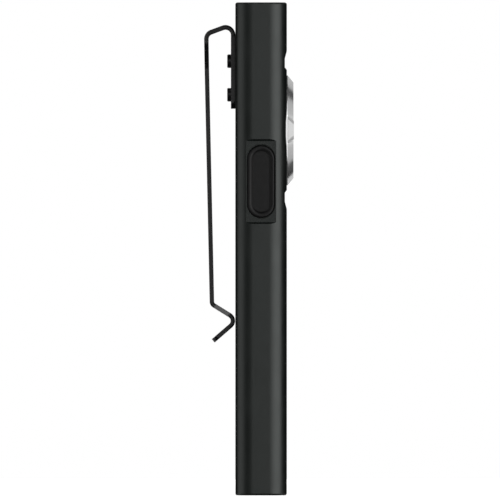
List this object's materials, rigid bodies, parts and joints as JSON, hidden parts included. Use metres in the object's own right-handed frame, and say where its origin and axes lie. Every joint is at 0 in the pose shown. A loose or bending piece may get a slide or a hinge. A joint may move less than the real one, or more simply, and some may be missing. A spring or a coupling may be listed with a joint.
{
  "type": "pocket flashlight",
  "caption": "Slim flat pocket flashlight with a rotary brightness dial, rubber-covered charging port and spring pocket clip.",
  "frame": {"origin": "centre of the flat tail face, which the light stands on", "axes": "+Z from the tail to the head along the body, +X out of the broad face with the dial, -X out of the face with the clip, -Y out of the narrow side with the charging port"},
  "size_m": [0.0252, 0.035, 0.1387],
  "materials": {
    "body_anodised": "black satin anodised",
    "window_glass": "clear",
    "clear_optic": "clear moulded acrylic",
    "black_rubber": "matt",
    "black_plastic": "moulded",
    "white_plastic": "moulded",
    "led_phosphor": "phosphor under clear silicone",
    "bare_aluminium": "machined",
    "green_board": "solder mask on glass-fibre board",
    "chip_plastic": "moulded",
    "ferrite": "pressed ferrite",
    "red_insulation": "wire insulation",
    "black_insulation": "wire insulation",
    "battery_foil": "laminated pouch foil",
    "grey_foam": "foam",
    "polished_nickel": "bright plated, fine turned",
    "plain_steel": "bright",
    "magnet_nickel": "nickel plated",
    "brass": "turned",
    "clip_spring_steel": "black coated spring steel",
    "black_screw": "black oxide"
  },
  "bodies": {
    "light_body": {"housing": "body_anodised", "head_bezel": "body_anodised", "tail_cap": "body_anodised", "lens_window": "window_glass", "lens_gasket": "black_rubber", "optic_array": "clear_optic", "optic_holder": "black_plastic", "led_board": "white_plastic", "led_1": "led_phosphor", "led_2": "led_phosphor", "led_3": "led_phosphor", "heat_spreader": "bare_aluminium", "bezel_screw_1": "black_screw", "bezel_screw_2": "black_screw", "chassis": "black_plastic", "control_board": "green_board", "board_screw_1": "plain_steel", "board_screw_2": "plain_steel", "board_screw_3": "plain_steel", "board_screw_4": "plain_steel", "battery_connector": "white_plastic", "boost_inductor": "ferrite", "controller_chip": "chip_plastic", "hall_sensor": "chip_plastic", "led_lead_red": "red_insulation", "led_lead_black": "black_insulation", "battery_cell": "battery_foil", "battery_foam_pad": "grey_foam", "cell_protection_board": "green_board", "battery_lead_red": "red_insulation", "battery_lead_black": "black_insulation", "tail_gasket": "black_rubber", "tail_screw_1": "black_screw", "tail_screw_2": "black_screw", "charging_socket": "plain_steel", "port_cover_anchor": "black_rubber", "dial_bush": "brass", "wave_spring": "plain_steel", "clip_leg": "clip_spring_steel", "clip_screw_1": "black_screw", "clip_screw_2": "black_screw", "clip_nut_plate": "black_screw"},
    "dial_turning": {"dial": "polished_nickel", "dial_spindle": "plain_steel", "spindle_clip": "plain_steel", "dial_seal": "black_rubber", "dial_magnet": "magnet_nickel"},
    "clip_spring_arm": {"clip_arm": "clip_spring_steel"},
    "port_flap": {"port_cover": "black_rubber"}
  },
  "joints": [
    {"name": "dial_turn", "type": "hinge", "parent": "light_body", "child": "dial_turning", "pos_m": [0.0075, 0, 0.1028], "axis": [1, 0, 0], "range_deg": [0, 75]},
    {"name": "clip_flex", "type": "hinge", "parent": "light_body", "child": "clip_spring_arm", "pos_m": [-0.01247, 0, 0.13082], "axis": [0, 1, 0], "range_deg": [0, 3.5], "stiffness_Nm_per_rad": 20},
    {"name": "port_cover_open", "type": "hinge", "parent": "light_body", "child": "port_flap", "pos_m": [0, -0.0174, 0.08175], "axis": [1, 0, 0], "range_deg": [0, 100], "stiffness_Nm_per_rad": 0.004}
  ]
}
